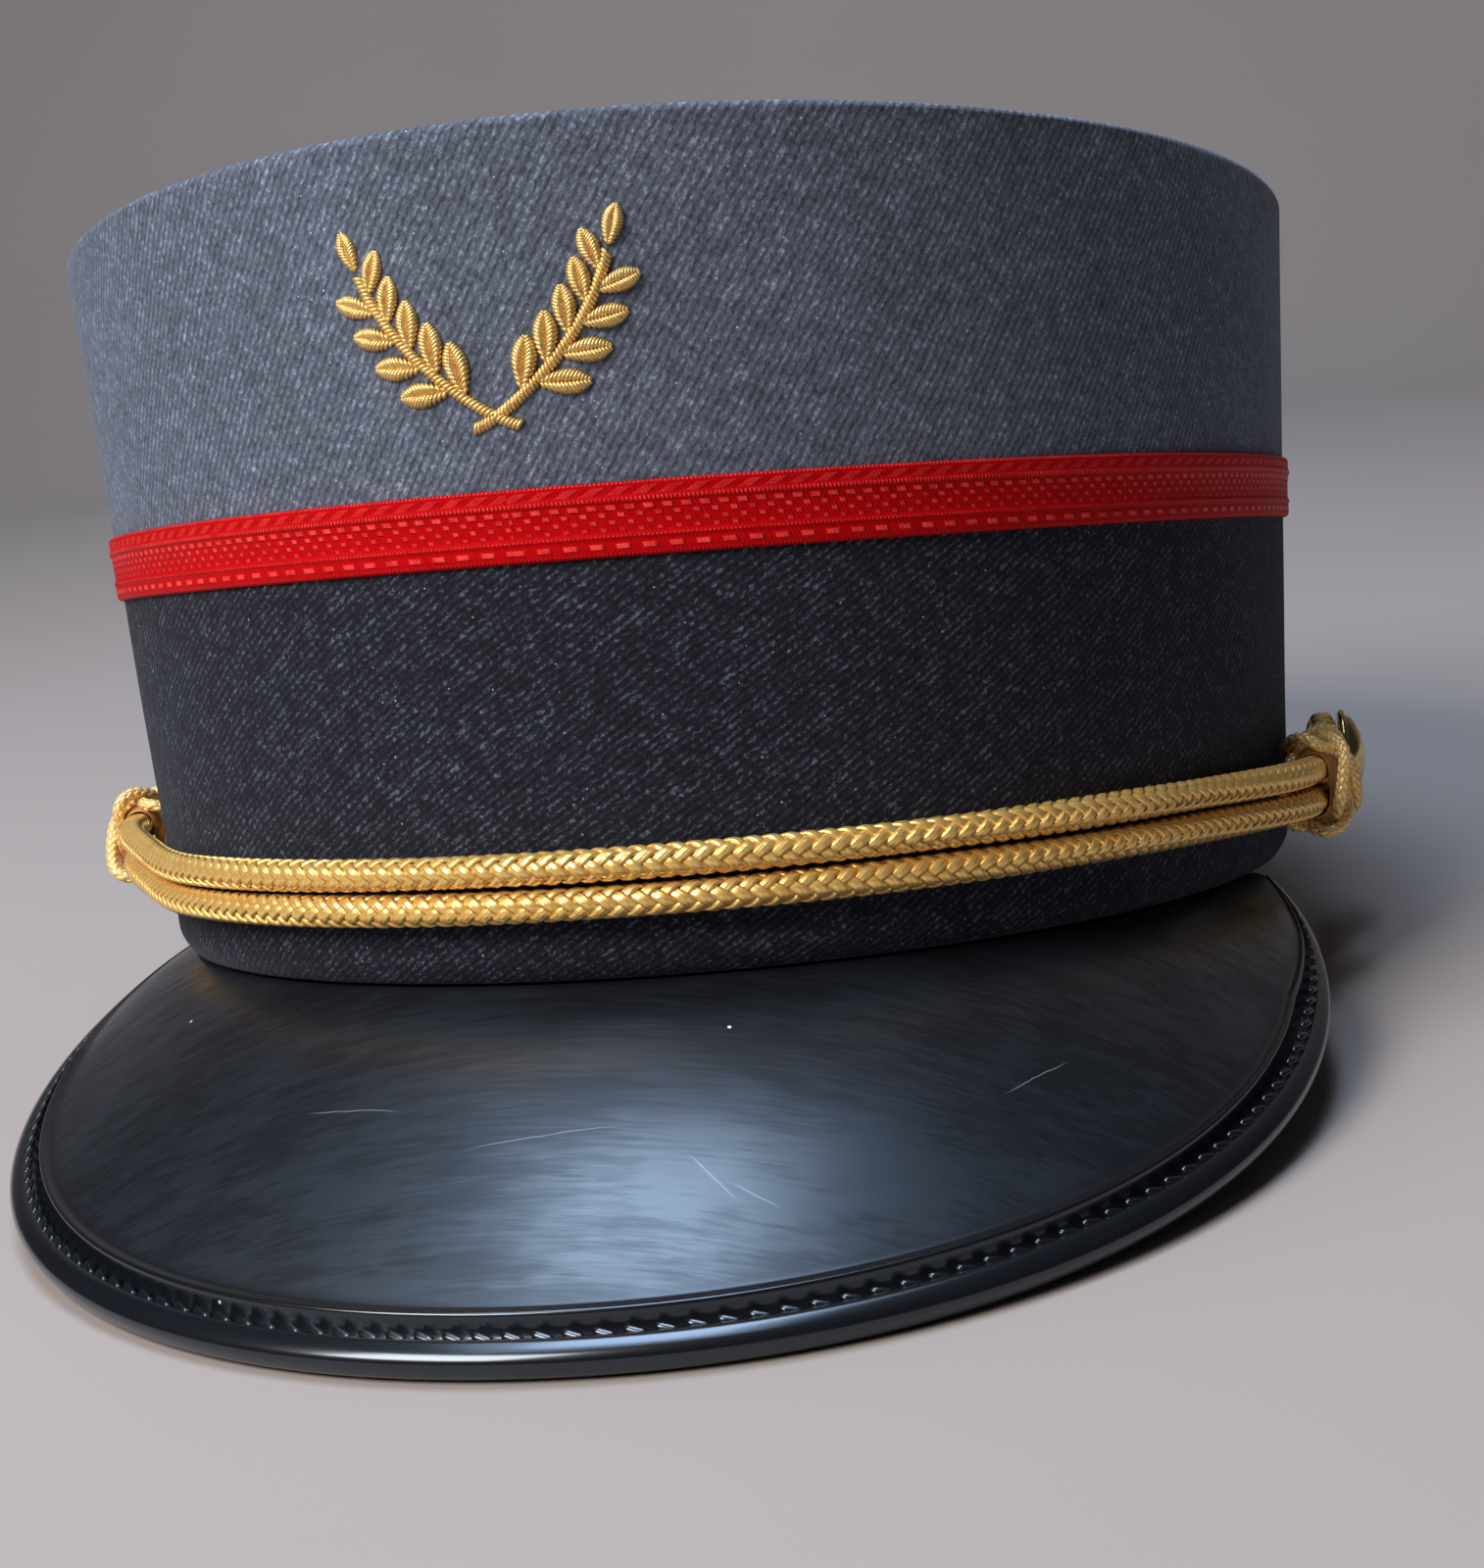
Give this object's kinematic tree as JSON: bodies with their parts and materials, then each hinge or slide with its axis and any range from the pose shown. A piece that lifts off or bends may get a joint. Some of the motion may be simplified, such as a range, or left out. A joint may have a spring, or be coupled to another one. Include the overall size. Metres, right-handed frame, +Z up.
{
  "type": "kepi cap",
  "caption": "Stiff cloth kepi with a tall leaning crown, flat sunken top, woven braid, braided chin cord on side buttons and a glossy sloping peak.",
  "frame": {"origin": "middle of the cap's box on the surface that it stands on", "axes": "+Z up, -Y to the front where the peak is, +X to the right as seen from the front"},
  "size_m": [0.1908, 0.2674, 0.1311],
  "materials": {
    "grey_cloth": "grey-blue melange wool twill",
    "navy_cloth": "dark navy wool twill",
    "red_braid": "silky woven galon",
    "patent_black": "glossy moulded, finely scratched",
    "gold_cord": "braided metallic thread",
    "gilt_metal": "polished gilt"
  },
  "bodies": {
    "root": {"crown_top": "grey_cloth", "crown_side": "grey_cloth", "band": "navy_cloth", "braid": "red_braid", "peak": "patent_black", "chin_cord": "gold_cord", "knot_left": "gold_cord", "knot_right": "gold_cord", "button_left": "gilt_metal", "button_right": "gilt_metal"}
  },
  "joints": []
}
